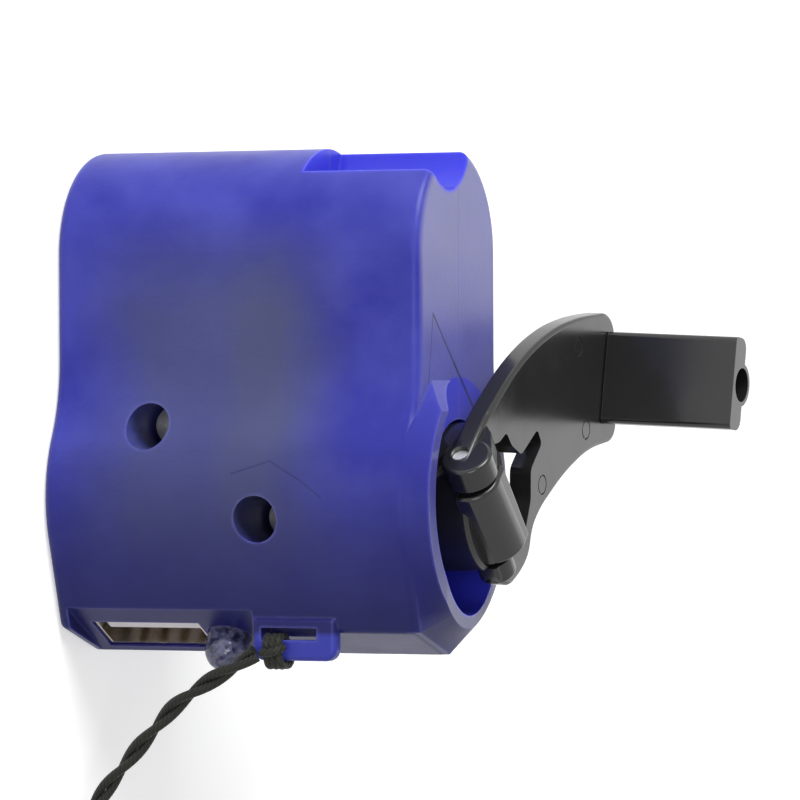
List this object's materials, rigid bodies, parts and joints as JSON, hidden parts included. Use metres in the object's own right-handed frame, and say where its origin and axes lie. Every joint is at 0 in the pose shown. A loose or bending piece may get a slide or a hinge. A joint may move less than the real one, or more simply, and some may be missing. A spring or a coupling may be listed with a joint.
{
  "type": "hand crank phone charger",
  "caption": "Translucent blue hand crank phone charger with a folding black crank, a USB port, a status light and a wrist lanyard.",
  "frame": {"origin": "where the crank axis meets the flat end that the charger stands on", "axes": "+Z along the crank axis out of the crank face, +Y towards the channel for the folded knob, -X towards the half with the screw holes"},
  "size_m": [0.0503, 0.1044, 0.068],
  "materials": {
    "front_case_plastic": "translucent frosted",
    "rear_case_plastic": "translucent frosted",
    "screw_steel": "satin",
    "crank_plastic": "glossy",
    "arm_plastic": "glossy",
    "knob_plastic": "glossy",
    "knob_pin_plastic": "glossy",
    "pin_steel": "satin",
    "shaft_steel": "satin",
    "clip_steel": "dark",
    "gear_plastic": "natural nylon",
    "brass": "satin",
    "plate_steel": "zinc plated",
    "pillar_steel": "zinc plated",
    "can_steel": "nickel plated",
    "cap_plastic": "matte",
    "copper": "enamelled wire",
    "magnet": "dark ferrite",
    "wire_cover": "soft",
    "board": "solder resist",
    "usb_metal": "plated",
    "tongue_plastic": "satin",
    "contact_gold": "polished",
    "led_clear": "clear",
    "lead_tin": "tinned",
    "chip_plastic": "matte",
    "capacitor_sleeve": "sleeve",
    "lanyard_cord": "twisted nylon",
    "tie_plastic": "soft"
  },
  "bodies": {
    "case": {"front_shell": "front_case_plastic", "rear_shell": "rear_case_plastic", "case_screws": "screw_steel", "hub_bush": "brass", "first_axle": "shaft_steel", "second_axle": "shaft_steel", "lower_gear_plate": "plate_steel", "upper_gear_plate": "plate_steel", "plate_pillars": "pillar_steel", "generator_can": "can_steel", "generator_cap": "cap_plastic", "generator_coil": "copper", "generator_wires": "wire_cover", "circuit_board": "board", "usb_shell": "usb_metal", "usb_tongue": "tongue_plastic", "usb_contacts": "contact_gold", "led_lens": "led_clear", "led_leads": "lead_tin", "rectifier_diodes": "chip_plastic", "smoothing_capacitor": "capacitor_sleeve", "regulator_chip": "chip_plastic", "lanyard_hitch": "lanyard_cord", "lanyard_cord": "lanyard_cord", "lanyard_coil": "lanyard_cord", "lanyard_knot": "lanyard_cord", "lanyard_tie": "tie_plastic"},
    "crank": {"crank_hub": "crank_plastic", "drive_shaft": "shaft_steel", "crank_gear": "gear_plastic", "shaft_clip": "clip_steel", "hinge_pin": "pin_steel"},
    "arm": {"crank_arm": "arm_plastic", "knob_pin": "knob_pin_plastic"},
    "grip": {"knob": "knob_plastic"},
    "first_wheel": {"first_gear": "gear_plastic"},
    "second_wheel": {"second_gear": "gear_plastic"},
    "rotor": {"rotor_magnet": "magnet", "rotor_shaft": "shaft_steel", "rotor_pinion": "brass"}
  },
  "joints": [
    {"name": "crank_spin", "type": "hinge", "parent": "case", "child": "crank", "pos_m": [0, 0, 0.044], "axis": [0, 0, 1], "continuous": true},
    {"name": "arm_fold", "type": "hinge", "parent": "crank", "child": "arm", "pos_m": [-0.00312, -0.00266, 0.0479], "axis": [0.6494, -0.7604, 0], "range_deg": [0, 176]},
    {"name": "knob_spin", "type": "hinge", "parent": "arm", "child": "grip", "pos_m": [0.02884, 0.01306, 0.05031], "axis": [-0.053, -0.0453, 0.9976], "continuous": true},
    {"name": "first_gear_spin", "type": "hinge", "parent": "case", "child": "first_wheel", "pos_m": [0, 0.0104, 0.0274], "axis": [0, 0, 1], "continuous": true},
    {"name": "second_gear_spin", "type": "hinge", "parent": "case", "child": "second_wheel", "pos_m": [0, 0.0196, 0.0238], "axis": [0, 0, 1], "continuous": true},
    {"name": "rotor_spin", "type": "hinge", "parent": "case", "child": "rotor", "pos_m": [0, 0.0274, 0.0238], "axis": [0, 0, 1], "continuous": true}
  ],
  "couplings": [
    {"joint": "first_gear_spin", "follows": "crank_spin", "ratio": -4.2},
    {"joint": "second_gear_spin", "follows": "crank_spin", "ratio": 15.12},
    {"joint": "rotor_spin", "follows": "crank_spin", "ratio": -50.4}
  ]
}
